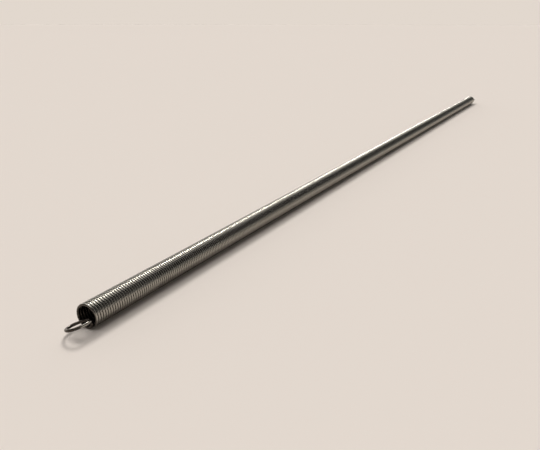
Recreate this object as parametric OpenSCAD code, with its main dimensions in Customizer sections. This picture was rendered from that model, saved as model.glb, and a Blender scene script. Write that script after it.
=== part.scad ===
// Extension spring: one round wire wound close into a long straight coil, with a loop at each end.
// It lies along x on the plane z = 0, with the middle of its coil over the origin.

/* [Wire and coil] */
// diameter of the wire
wire_d = 1.2; // [0.9:0.05:1.4]
// outer diameter of the coil
coil_od = 10; // [8:0.5:14]
// number of turns from one end of the coil to the other
turns = 565; // [60:1:700]
// air between one turn and the next
turn_gap = 0.032; // [0.02:0.002:0.1]

/* [End loops] */
// radius, to the middle of the wire, of the small bend that leads in from the last turn
bend_r = 1.45; // [1.2:0.05:1.6]
// how much further out than a turn of the coil the wire of each loop runs
loop_spread = 0.1; // [0:0.05:0.5]
// how far round its circle each loop runs before the wire is cut off
loop_angle = 325; // [270:1:325]

/* [Lay] */
// how far the spring has rolled from having its loops level
roll = 21.4; // [0:0.1:45]

/* [Detail] */
// turns at each end that are wound as separate wire; those between are closed up into one wall
open_turns = 12; // [3:1:20]
// flat faces across the ridge of each turn that is closed up
ridge_faces = 6; // [4:2:8]

/* [Hidden] */
$fn = 32;
wire_r = wire_d / 2;
mean_r = coil_od / 2 - wire_r;
// half the rise of a turn, in even thousandths so that the half turns meet end to end
half_pitch = round((wire_d + turn_gap) * 250) / 500;
pitch = 2 * half_pitch;
// a half turn lies in a plane that slants by this much
tilt = asin(half_pitch / 2 / mean_r);
closed_turns = turns - 2 * open_turns;
closed_end = closed_turns * half_pitch;
// the closed wall holds as much metal as the wire that it stands for
bore_r = mean_r - PI * wire_r * wire_r / pitch + PI * wire_r / 4;
// the first separate turn is sunk a little into the ramp that it lies on
seat = wire_r * 0.75;
ramp_room = 3 * pitch;
loop_r = mean_r + loop_spread;
// distance from the coil's axis to the plane of each loop
loop_offset = mean_r - 2 * bend_r;

// a length of the wire bent round the z axis, from the x axis towards y
module wire_arc(radius, sweep) {
    rotate_extrude(angle = sweep)
        translate([radius, 0])
            circle(r = wire_r);
}

// puts a piece in the slanted plane of one half turn, counted from the end of the closed wall
module on_half_turn(count) {
    translate([0, 0, closed_end + (count + 0.5) * half_pitch])
        rotate([0, tilt, 180 * (count % 2)])
            children();
}

// the wire bends in from the coil, then runs round the loop to its cut end
module loop() {
    translate([-mean_r + bend_r, 0, 0])
        rotate([0, 0, 180])
            wire_arc(bend_r, 180);
    translate([-loop_offset, 0, 0])
        rotate([0, -tilt, 0])
            translate([0, 0, loop_r])
                rotate([0, 90, 0])
                    wire_arc(loop_r, loop_angle);
}

// the last turns at one end, each made of two half turns, and their loop
module end_turns() {
    for (count = [0 : 2 * open_turns - 1])
        on_half_turn(count)
            wire_arc(mean_r, 180);
    on_half_turn(2 * open_turns - 1)
        loop();
}

// room for the first separate turn, which climbs one pitch round the end of the closed wall
module end_ramp() {
    for (count = [0, 1])
        on_half_turn(count)
            translate([-coil_od, 0, -seat])
                cube([2 * coil_od, coil_od, ramp_room]);
}

// the turns between, as a tube with a rounded ridge for the outside of each
module closed_wall() {
    far_z = closed_end + pitch;
    ridges = [
        for (turn = [0 : closed_turns + 1], face = [0 : ridge_faces - 1])
            let (angle = 180 * face / ridge_faces)
                [
                    mean_r + wire_r * sin(angle),
                    turn * pitch - far_z + half_pitch * (1 - cos(angle))
                ]
    ];
    rotate_extrude()
        polygon(concat([[bore_r, -far_z]], ridges, [[mean_r, far_z], [bore_r, far_z]]));
}

module coil() {
    difference() {
        closed_wall();
        end_ramp();
        rotate([180, 0, 0])
            end_ramp();
    }
}

module spring() {
    color([0.62, 0.62, 0.63])
        translate([0, 0, coil_od / 2])
            rotate([0, 90, 0])
                rotate([0, 0, roll])
                    union() {
                        coil();
                        end_turns();
                        rotate([180, 0, 0])
                            end_turns();
                    }
}

spring();
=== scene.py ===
"""Dresses the extension spring: winds its bright wire, lays it on a pale floor and lights it softly."""

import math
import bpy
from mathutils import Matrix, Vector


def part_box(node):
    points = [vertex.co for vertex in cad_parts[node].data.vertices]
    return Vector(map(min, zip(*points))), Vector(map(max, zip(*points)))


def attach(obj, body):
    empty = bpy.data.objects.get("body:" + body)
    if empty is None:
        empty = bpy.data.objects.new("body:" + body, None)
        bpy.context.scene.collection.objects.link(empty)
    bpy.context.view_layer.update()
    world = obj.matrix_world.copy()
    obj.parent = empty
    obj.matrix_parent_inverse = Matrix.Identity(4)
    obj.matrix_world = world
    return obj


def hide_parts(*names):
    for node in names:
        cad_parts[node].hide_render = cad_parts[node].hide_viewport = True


bl_info = {
    "name": "Extension Spring",
    "version": (1, 0, 0),
    "blender": (4, 5, 0),
    "location": "3D View > Sidebar > Spring",
    "description": "Winds a long extension spring with a loop at each end and sets its stage",
    "category": "Object",
}

import bpy
from bpy.props import FloatProperty, FloatVectorProperty, IntProperty, PointerProperty
from mathutils import Vector

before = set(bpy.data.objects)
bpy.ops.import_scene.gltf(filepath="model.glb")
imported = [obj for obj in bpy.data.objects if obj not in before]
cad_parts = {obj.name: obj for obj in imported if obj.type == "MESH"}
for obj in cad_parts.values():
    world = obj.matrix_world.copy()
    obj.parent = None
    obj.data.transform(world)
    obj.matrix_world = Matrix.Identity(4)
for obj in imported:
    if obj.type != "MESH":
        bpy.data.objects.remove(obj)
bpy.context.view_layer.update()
CAD_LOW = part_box("spring")[0]
MM = 0.001


class WireSettings(bpy.types.PropertyGroup):
    """Sizes of the wire, its coil and its two loops"""

    wire_diameter: FloatProperty(
        name="Wire diameter",
        description="Thickness of the drawn wire",
        default=1.2 * MM,
        unit="LENGTH",
        precision=5,
    )
    coil_diameter: FloatProperty(
        name="Coil diameter",
        description="Outer diameter of the coil",
        default=10 * MM,
        unit="LENGTH",
        precision=5,
    )
    turn_rise: FloatProperty(
        name="Rise of a turn",
        description="Distance from one turn to the next along the coil",
        default=1.232 * MM,
        unit="LENGTH",
        precision=6,
    )
    turns: IntProperty(
        name="Turns",
        description="Number of turns from one end of the coil to the other",
        default=565,
        min=70,
    )
    fine_turns: IntProperty(
        name="Fine turns",
        description="Turns at each end that are wound in shorter steps",
        default=28,
        min=1,
    )
    bend_radius: FloatProperty(
        name="Bend radius",
        description="Radius of the small bend that leads in from the last turn",
        default=1.45 * MM,
        unit="LENGTH",
        precision=5,
    )
    loop_spread: FloatProperty(
        name="Loop spread",
        description="How much further out than a turn the wire of a loop runs",
        default=0.1 * MM,
        unit="LENGTH",
        precision=5,
    )
    loop_angle: FloatProperty(
        name="Loop angle",
        description="How far round its circle a loop runs before the wire is cut off",
        default=math.radians(325),
        subtype="ANGLE",
    )
    roll: FloatProperty(
        name="Roll",
        description="How far the spring has rolled from having its loops level",
        default=math.radians(21.4),
        subtype="ANGLE",
    )


class FinishSettings(bpy.types.PropertyGroup):
    """Colours and gloss of the wire"""

    steel: FloatVectorProperty(
        name="Steel",
        description="Colour of the bright drawn steel",
        default=(0.35, 0.335, 0.30),
        subtype="COLOR",
        size=3,
        min=0,
        max=1,
    )
    # painted shade: this dark colour is laid down between the turns, where shade falls, and a little on
    # random spots of tarnish
    tarnish_and_shade: FloatVectorProperty(
        name="Tarnish",
        description="Colour of the dull film between the turns",
        default=(0.045, 0.037, 0.03),
        subtype="COLOR",
        size=3,
        min=0,
        max=1,
    )
    gloss_roughness: FloatProperty(
        name="Roughness",
        description="Roughness of the clean wire",
        default=0.18,
        min=0,
        max=1,
    )


class StageSettings(bpy.types.PropertyGroup):
    """Floor, lights and camera"""

    floor: FloatVectorProperty(
        name="Floor",
        description="Colour of the floor",
        default=(0.82, 0.758, 0.712),
        subtype="COLOR",
        size=3,
        min=0,
        max=1,
    )
    window_strength: FloatProperty(
        name="Window strength",
        description="Strength of the one strong light, far behind the spring",
        default=1.6,
        min=0,
    )
    lobe_strength: FloatProperty(
        name="Lobe strength",
        description="Strength of the wide soft light, high on the left",
        default=1.85,
        min=0,
    )
    band_strength: FloatProperty(
        name="Band strength",
        description="Strength of the pale wall far off, low down beyond the spring",
        default=1.0,
        min=0,
    )
    wall_strength: FloatProperty(
        name="Wall strength",
        description="Strength of the other walls",
        default=0.4,
        min=0,
    )
    ceiling_strength: FloatProperty(
        name="Ceiling strength",
        description="Strength of the dim ceiling",
        default=0.07,
        min=0,
    )
    lens: FloatProperty(
        name="Lens",
        description="Focal length of the camera in millimetres",
        default=37.17,
        min=1,
    )


def select_only(piece):
    """Leaves one object selected and active, so that an operator acts on it alone."""
    bpy.ops.object.select_all(action="DESELECT")
    piece.select_set(True)
    bpy.context.view_layer.objects.active = piece


def select_near(piece, centre, reach):
    """In edit mode, selects only the vertices that lie within reach of a point."""
    bpy.ops.mesh.select_all(action="DESELECT")
    bpy.ops.object.mode_set(mode="OBJECT")
    for vertex in piece.data.vertices:
        vertex.select = (vertex.co - centre).length < reach
    bpy.ops.object.mode_set(mode="EDIT")


# flat sides round the wire, and steps to a turn of the coil, to a bend and to a loop
WIRE_SIDES = 10
MIDDLE_STEPS = 15
FINE_STEPS = 24
BEND_STEPS = 12
LOOP_STEPS = 56
# rings closer than this are one ring, where one stretch of coil meets the next
MERGE_REACH = 0.004 * MM
# in radii of the wire: how far round its middle the last ring is picked, and the rim of the cut end
RING_REACH = 1.05
CUT_RIM = 0.15
CUT_DEPTH = 0.08
SMOOTH_ANGLE = math.radians(50)


def wind(name, start, turns, steps, wire):
    """A stretch of coil along x from start: a ring of wire below the axis, screwed round it."""
    mean_radius = (wire.coil_diameter - wire.wire_diameter) / 2
    bpy.ops.object.select_all(action="DESELECT")
    bpy.ops.mesh.primitive_circle_add(
        vertices=WIRE_SIDES,
        radius=wire.wire_diameter / 2,
        location=(start, 0, -mean_radius),
        rotation=(math.pi / 2, 0, 0),
    )
    piece = bpy.context.object
    piece.name = name
    bpy.ops.object.transform_apply(location=True, rotation=True, scale=True)
    screw = piece.modifiers.new("Turns", "SCREW")
    screw.axis = "X"
    screw.angle = 2 * math.pi
    screw.screw_offset = wire.turn_rise
    screw.iterations = turns
    screw.steps = steps
    screw.render_steps = steps
    screw.use_merge_vertices = False
    bpy.ops.object.modifier_apply(modifier=screw.name)
    return piece


def form_end(piece, side, wire):
    """Bends the wire in from the last turn at one end, runs it round the loop and cuts it off.

    The Spin operator turns left-handed about its axis, so each axis points the other way.
    """
    wire_radius = wire.wire_diameter / 2
    mean_radius = wire.coil_diameter / 2 - wire_radius
    loop_radius = mean_radius + wire.loop_spread
    lean = math.asin(wire.turn_rise / 4 / mean_radius)
    coil_end = wire.turns * wire.turn_rise / 2
    inward = Vector((-side * math.sin(lean), 0, math.cos(lean)))
    last_ring = Vector((side * coil_end, 0, -mean_radius))
    root = last_ring + 2 * wire.bend_radius * inward
    loop_centre = root + Vector((side * loop_radius, 0, 0))

    select_near(piece, last_ring, wire_radius * RING_REACH)
    bpy.ops.mesh.spin(
        steps=BEND_STEPS,
        angle=math.pi,
        center=last_ring + wire.bend_radius * inward,
        axis=(-side * math.cos(lean), 0, -math.sin(lean)),
    )
    bpy.ops.mesh.spin(
        steps=LOOP_STEPS,
        angle=wire.loop_angle,
        center=loop_centre,
        axis=(0, 0, -1),
    )
    bpy.ops.mesh.edge_face_add()
    bpy.ops.mesh.inset(thickness=wire_radius * CUT_RIM, depth=wire_radius * CUT_DEPTH)


def wire_piece(wire):
    """The whole wire as one closed mesh: the coil in three stretches, then its two ends."""
    coil_start = -wire.turns * wire.turn_rise / 2
    middle_turns = wire.turns - 2 * wire.fine_turns
    stretches = [
        wind("spring_wire", coil_start, wire.fine_turns, FINE_STEPS, wire),
        wind(
            "middle_turns",
            coil_start + wire.fine_turns * wire.turn_rise,
            middle_turns,
            MIDDLE_STEPS,
            wire,
        ),
        wind(
            "front_turns",
            coil_start + (wire.fine_turns + middle_turns) * wire.turn_rise,
            wire.fine_turns,
            FINE_STEPS,
            wire,
        ),
    ]
    piece = stretches[0]
    select_only(piece)
    for stretch in stretches[1:]:
        stretch.select_set(True)
    bpy.ops.object.join()
    bpy.ops.object.mode_set(mode="EDIT")
    bpy.ops.mesh.select_mode(type="VERT")
    bpy.ops.mesh.select_all(action="SELECT")
    bpy.ops.mesh.remove_doubles(threshold=MERGE_REACH)
    for side in (1, -1):
        form_end(piece, side, wire)
    bpy.ops.mesh.select_all(action="SELECT")
    bpy.ops.mesh.normals_make_consistent(inside=False)
    bpy.ops.object.mode_set(mode="OBJECT")
    piece.rotation_euler = (wire.roll, 0, 0)
    piece.location = (0, 0, wire.coil_diameter / 2)
    bpy.ops.object.transform_apply(location=True, rotation=True, scale=True)
    bpy.ops.object.shade_smooth_by_angle(angle=SMOOTH_ANGLE)
    return piece


def new_material(name):
    """A material with its Principled shader and its output, and nothing else."""
    material = bpy.data.materials.new(name)
    material.use_nodes = True
    return material, material.node_tree, material.node_tree.nodes["Principled BSDF"]


def math_node(tree, operation, *values, clamp=False):
    """A Math node whose inputs are sockets or plain numbers."""
    node = tree.nodes.new("ShaderNodeMath")
    node.operation = operation
    node.use_clamp = clamp
    for socket, value in zip(node.inputs, values):
        if isinstance(value, bpy.types.NodeSocket):
            tree.links.new(value, socket)
        else:
            socket.default_value = value
    return node.outputs[0]


def add_socket(group, name, direction, kind, value=None):
    """A named input or output on a node group."""
    socket = group.interface.new_socket(name=name, in_out=direction, socket_type=kind)
    if value is not None:
        socket.default_value = value


MARKS_PER_METRE = 9000.0
MARK_DEPTH = 0.02 * MM
MARK_STRENGTH = 0.01
MARK_SHARE = 0.6
MARK_ROUGHNESS = 0.04


def draw_marks_group(axis_height):
    """Fine marks that a drawing die leaves along the wire, round the coil and narrow across it."""
    group = bpy.data.node_groups.new("Draw Marks", "ShaderNodeTree")
    add_socket(group, "Axis Height", "INPUT", "NodeSocketFloat", axis_height)
    add_socket(group, "Marks per Metre", "INPUT", "NodeSocketFloat", MARKS_PER_METRE)
    add_socket(group, "Marks", "OUTPUT", "NodeSocketFloat")
    add_socket(group, "Distance from Axis", "OUTPUT", "NodeSocketFloat")
    given = group.nodes.new("NodeGroupInput")
    result = group.nodes.new("NodeGroupOutput")
    place = group.nodes.new("ShaderNodeTexCoord")
    split = group.nodes.new("ShaderNodeSeparateXYZ")
    group.links.new(place.outputs["Object"], split.inputs[0])
    across = split.outputs["Y"]
    up = math_node(group, "SUBTRACT", split.outputs["Z"], given.outputs["Axis Height"])
    across_squared = math_node(group, "MULTIPLY", across, across)
    radius = math_node(group, "SQRT", math_node(group, "MULTIPLY_ADD", up, up, across_squared))
    density = given.outputs["Marks per Metre"]
    vector = group.nodes.new("ShaderNodeCombineXYZ")
    group.links.new(math_node(group, "MULTIPLY", split.outputs["X"], density), vector.inputs[0])
    group.links.new(math_node(group, "MULTIPLY", radius, density), vector.inputs[1])
    group.links.new(math_node(group, "DIVIDE", across, radius), vector.inputs[2])
    noise = group.nodes.new("ShaderNodeTexNoise")
    noise.noise_dimensions = "4D"
    noise.inputs["Scale"].default_value = 1.0
    noise.inputs["Detail"].default_value = 3.0
    group.links.new(vector.outputs[0], noise.inputs["Vector"])
    group.links.new(math_node(group, "DIVIDE", up, radius), noise.inputs["W"])
    group.links.new(noise.outputs[0], result.inputs["Marks"])
    group.links.new(radius, result.inputs["Distance from Axis"])
    return group


# where the painted shade between the turns starts and where it is full, in wire diameters out from the
# middle
SHADE_START = 0.42
SHADE_FULL = 0.10
SPOTS_PER_METRE = 160.0
SPOT_SHARE = 0.14
SPOT_CLEAR = 0.06


def steel_material(finish, wire):
    """Bright drawn steel with painted shade: a dark brown colour down between the turns, where shade
    falls, and a little on random spots of tarnish.
    """
    material, tree, shader = new_material("drawn_steel")
    marks = tree.nodes.new("ShaderNodeGroup")
    marks.node_tree = draw_marks_group(wire.coil_diameter / 2)
    mean_radius = (wire.coil_diameter - wire.wire_diameter) / 2
    # painted shade: the colour darkens towards the grooves between the turns, where shade falls
    groove_shade = tree.nodes.new("ShaderNodeMapRange")
    groove_shade.inputs["From Min"].default_value = mean_radius + wire.wire_diameter * SHADE_FULL
    groove_shade.inputs["From Max"].default_value = mean_radius + wire.wire_diameter * SHADE_START
    groove_shade.inputs["To Min"].default_value = 1.0
    groove_shade.inputs["To Max"].default_value = 0.0
    tree.links.new(marks.outputs["Distance from Axis"], groove_shade.inputs["Value"])
    spots = tree.nodes.new("ShaderNodeTexNoise")
    place = tree.nodes.new("ShaderNodeTexCoord")
    tree.links.new(place.outputs["Object"], spots.inputs["Vector"])
    spots.inputs["Scale"].default_value = SPOTS_PER_METRE
    spots.inputs["Detail"].default_value = 4.0
    # painted shade between the turns, with random spots of tarnish added on top
    shade_and_spots = math_node(tree, "MULTIPLY_ADD", spots.outputs[0], SPOT_SHARE, groove_shade.outputs[0], clamp=True)
    colour = tree.nodes.new("ShaderNodeMix")
    colour.data_type = "RGBA"
    colour.inputs["A"].default_value = (*finish.steel, 1)
    colour.inputs["B"].default_value = (*finish.tarnish_and_shade, 1)
    tree.links.new(math_node(tree, "SUBTRACT", shade_and_spots, SPOT_CLEAR, clamp=True), colour.inputs["Factor"])
    tree.links.new(colour.outputs["Result"], shader.inputs["Base Color"])
    rough = tree.nodes.new("ShaderNodeMapRange")
    rough.inputs["To Min"].default_value = finish.gloss_roughness
    rough.inputs["To Max"].default_value = finish.gloss_roughness + MARK_ROUGHNESS
    marked = math_node(tree, "MULTIPLY", marks.outputs["Marks"], MARK_SHARE)
    tree.links.new(marked, rough.inputs["Value"])
    tree.links.new(rough.outputs[0], shader.inputs["Roughness"])
    bump = tree.nodes.new("ShaderNodeBump")
    bump.inputs["Strength"].default_value = MARK_STRENGTH
    bump.inputs["Distance"].default_value = MARK_DEPTH
    tree.links.new(marks.outputs["Marks"], bump.inputs["Height"])
    tree.links.new(bump.outputs[0], shader.inputs["Normal"])
    shader.inputs["Metallic"].default_value = 1.0
    return material


def floor_material(stage):
    """The pale, slightly warm surface that the spring lies on."""
    material, tree, shader = new_material("pale_floor")
    shader.inputs["Base Color"].default_value = (*stage.floor, 1)
    shader.inputs["Roughness"].default_value = 0.9
    shader.inputs["Specular IOR Level"].default_value = 0.0
    return material


# in metres, wide enough to reach the horizon
FLOOR_SIZE = 60


def add_floor(stage):
    """A wide level floor."""
    bpy.ops.object.select_all(action="DESELECT")
    bpy.ops.mesh.primitive_plane_add(size=FLOOR_SIZE, location=(0, 0, CAD_LOW.z))
    floor = bpy.context.object
    floor.name = "floor"
    floor.data.materials.append(floor_material(stage))


WINDOW_TOWARDS = Vector((-0.682, -0.385, 0.622))
# how wide the window looks from the spring, which sets how soft the shadows are
WINDOW_ANGLE = math.radians(14)
WARM_WHITE = (1.0, 0.97, 0.93)


def add_window(stage):
    """The strong light: far behind the spring, so that shadows fall towards the camera."""
    data = bpy.data.lights.new("window", "SUN")
    data.angle = WINDOW_ANGLE
    data.energy = stage.window_strength
    data.color = WARM_WHITE
    lamp = bpy.data.objects.new("window", data)
    lamp.rotation_euler = (-WINDOW_TOWARDS).to_track_quat("-Z", "Y").to_euler()
    bpy.context.scene.collection.objects.link(lamp)


LOBE_TOWARDS = Vector((0, -0.26, 0.966))
# the lobe starts at the first angle from its middle and is full at the second
LOBE_EDGE = math.cos(math.radians(40))
LOBE_FULL = math.cos(math.radians(15))
BAND_TOWARDS = Vector((-0.72, -0.69, 0))
# pairs of values between which the light changes: cosines to the side, heights up the room
BAND_SIDE = (0.40, 0.80)
BAND_HEIGHT = (0.40, 0.64)
WALL_HEIGHT = (0.2, 0.4)
HORIZON_HEIGHT = (0.05, 0.15)
# the floor's own tone as the camera sees it, so that no horizon shows
FAR_TONE = (0.76, 0.685, 0.615)


def ramp_node(tree, value, between, start=0.0, end=1.0):
    """Goes smoothly from start to end while a value rises from one number to another."""
    node = tree.nodes.new("ShaderNodeMapRange")
    node.interpolation_type = "SMOOTHSTEP"
    node.inputs["From Min"].default_value, node.inputs["From Max"].default_value = between
    node.inputs["To Min"].default_value = start
    node.inputs["To Max"].default_value = end
    tree.links.new(value, node.inputs["Value"])
    return node.outputs[0]


def facing_node(tree, direction, towards):
    """How squarely a direction points towards another, as the cosine between them."""
    node = tree.nodes.new("ShaderNodeVectorMath")
    node.operation = "DOT_PRODUCT"
    tree.links.new(direction, node.inputs[0])
    node.inputs[1].default_value = towards.normalized()
    return node.outputs["Value"]


def direction_sockets(tree):
    """The direction that a ray leaves in, and its height, which is 0 at the horizon and 1 overhead."""
    direction = tree.nodes.new("ShaderNodeTexCoord").outputs["Generated"]
    split = tree.nodes.new("ShaderNodeSeparateXYZ")
    tree.links.new(direction, split.inputs[0])
    return direction, split.outputs["Z"]


def room_light(tree, stage):
    """The room's strength in each direction: a soft lobe, a pale band far off, and dim elsewhere."""
    direction, height = direction_sockets(tree)
    towards_lobe = facing_node(tree, direction, LOBE_TOWARDS)
    lobe = ramp_node(tree, towards_lobe, (LOBE_EDGE, LOBE_FULL), end=stage.lobe_strength)
    side = ramp_node(tree, facing_node(tree, direction, BAND_TOWARDS), BAND_SIDE)
    low_down = ramp_node(tree, height, BAND_HEIGHT, stage.band_strength, 0.0)
    band = math_node(tree, "MULTIPLY", side, low_down)
    walls = ramp_node(tree, height, WALL_HEIGHT, stage.wall_strength, stage.ceiling_strength)
    return math_node(tree, "ADD", math_node(tree, "ADD", lobe, band), walls)


def seen_distance(tree):
    """Where the pale distance shows: everywhere to the camera, and near the horizon in metal and glass."""
    seen_by = tree.nodes.new("ShaderNodeLightPath").outputs
    near_horizon = ramp_node(tree, direction_sockets(tree)[1], HORIZON_HEIGHT, 1.0, 0.0)
    mirrored = math_node(tree, "ADD", seen_by["Is Glossy Ray"], seen_by["Is Transmission Ray"])
    mirrored = math_node(tree, "MULTIPLY", mirrored, near_horizon)
    return math_node(tree, "ADD", seen_by["Is Camera Ray"], mirrored, clamp=True)


def room_world(stage):
    """The room that lights the spring, and a plain pale distance that continues the floor."""
    world = bpy.data.worlds.new("room")
    bpy.context.scene.world = world
    world.use_nodes = True
    tree = world.node_tree
    room = tree.nodes["Background"]
    room.inputs["Color"].default_value = (*WARM_WHITE, 1)
    tree.links.new(room_light(tree, stage), room.inputs["Strength"])
    distance = tree.nodes.new("ShaderNodeBackground")
    distance.inputs["Color"].default_value = (*FAR_TONE, 1)
    seen = tree.nodes.new("ShaderNodeMixShader")
    tree.links.new(seen_distance(tree), seen.inputs[0])
    tree.links.new(room.outputs[0], seen.inputs[1])
    tree.links.new(distance.outputs[0], seen.inputs[2])
    tree.links.new(seen.outputs[0], tree.nodes["World Output"].inputs["Surface"])


CAMERA_PLACE = Vector((471.1, 147.4, 105.7)) * MM
CAMERA_LOOK = Vector((-0.8173, -0.4656, -0.3394))
SENSOR_WIDTH = 36
IMAGE_WIDTH = 540
IMAGE_HEIGHT = 450
# the row of pixels that the camera points at
PRINCIPAL_ROW = 224


def add_camera(stage):
    """The camera that the photograph was taken with: near one end and looking down the coil."""
    data = bpy.data.cameras.new("camera")
    data.lens = stage.lens
    data.sensor_width = SENSOR_WIDTH
    data.shift_y = (PRINCIPAL_ROW - IMAGE_HEIGHT / 2) / IMAGE_WIDTH
    data.clip_start = 0.01
    camera = bpy.data.objects.new("camera", data)
    camera.location = CAMERA_PLACE
    camera.rotation_euler = CAMERA_LOOK.to_track_quat("-Z", "Y").to_euler()
    bpy.context.scene.collection.objects.link(camera)
    bpy.context.scene.camera = camera


class SPRING_OT_wind_wire(bpy.types.Operator):
    """Winds the spring's wire, with its coil and both loops"""

    bl_idname = "spring.wind_wire"
    bl_label = "Wind Wire"

    def execute(self, context):
        wire = context.scene.spring_wire
        piece = wire_piece(wire)
        piece.data.materials.append(steel_material(context.scene.spring_finish, wire))
        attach(piece, "root")
        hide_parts("spring")
        return {"FINISHED"}


class SPRING_OT_set_stage(bpy.types.Operator):
    """Adds the floor, the lights and the camera"""

    bl_idname = "spring.set_stage"
    bl_label = "Set Stage"

    def execute(self, context):
        stage = context.scene.spring_stage
        add_floor(stage)
        add_window(stage)
        room_world(stage)
        add_camera(stage)
        context.scene.view_settings.view_transform = "Standard"
        return {"FINISHED"}


class SPRING_PT_panel(bpy.types.Panel):
    """Lists the spring's steps"""

    bl_label = "Extension Spring"
    bl_idname = "SPRING_PT_panel"
    bl_space_type = "VIEW_3D"
    bl_region_type = "UI"
    bl_category = "Spring"

    def draw(self, context):
        for operator in OPERATORS:
            self.layout.operator(operator.bl_idname)


OPERATORS = (SPRING_OT_wind_wire, SPRING_OT_set_stage)
CLASSES = (WireSettings, FinishSettings, StageSettings, *OPERATORS, SPRING_PT_panel)


def register():
    for cls in CLASSES:
        bpy.utils.register_class(cls)
    bpy.types.Scene.spring_wire = PointerProperty(type=WireSettings)
    bpy.types.Scene.spring_finish = PointerProperty(type=FinishSettings)
    bpy.types.Scene.spring_stage = PointerProperty(type=StageSettings)


def unregister():
    del bpy.types.Scene.spring_stage
    del bpy.types.Scene.spring_finish
    del bpy.types.Scene.spring_wire
    for cls in reversed(CLASSES):
        bpy.utils.unregister_class(cls)


def main():
    register()
    bpy.ops.spring.wind_wire()
    bpy.ops.spring.set_stage()


if __name__ == "__main__":
    main()
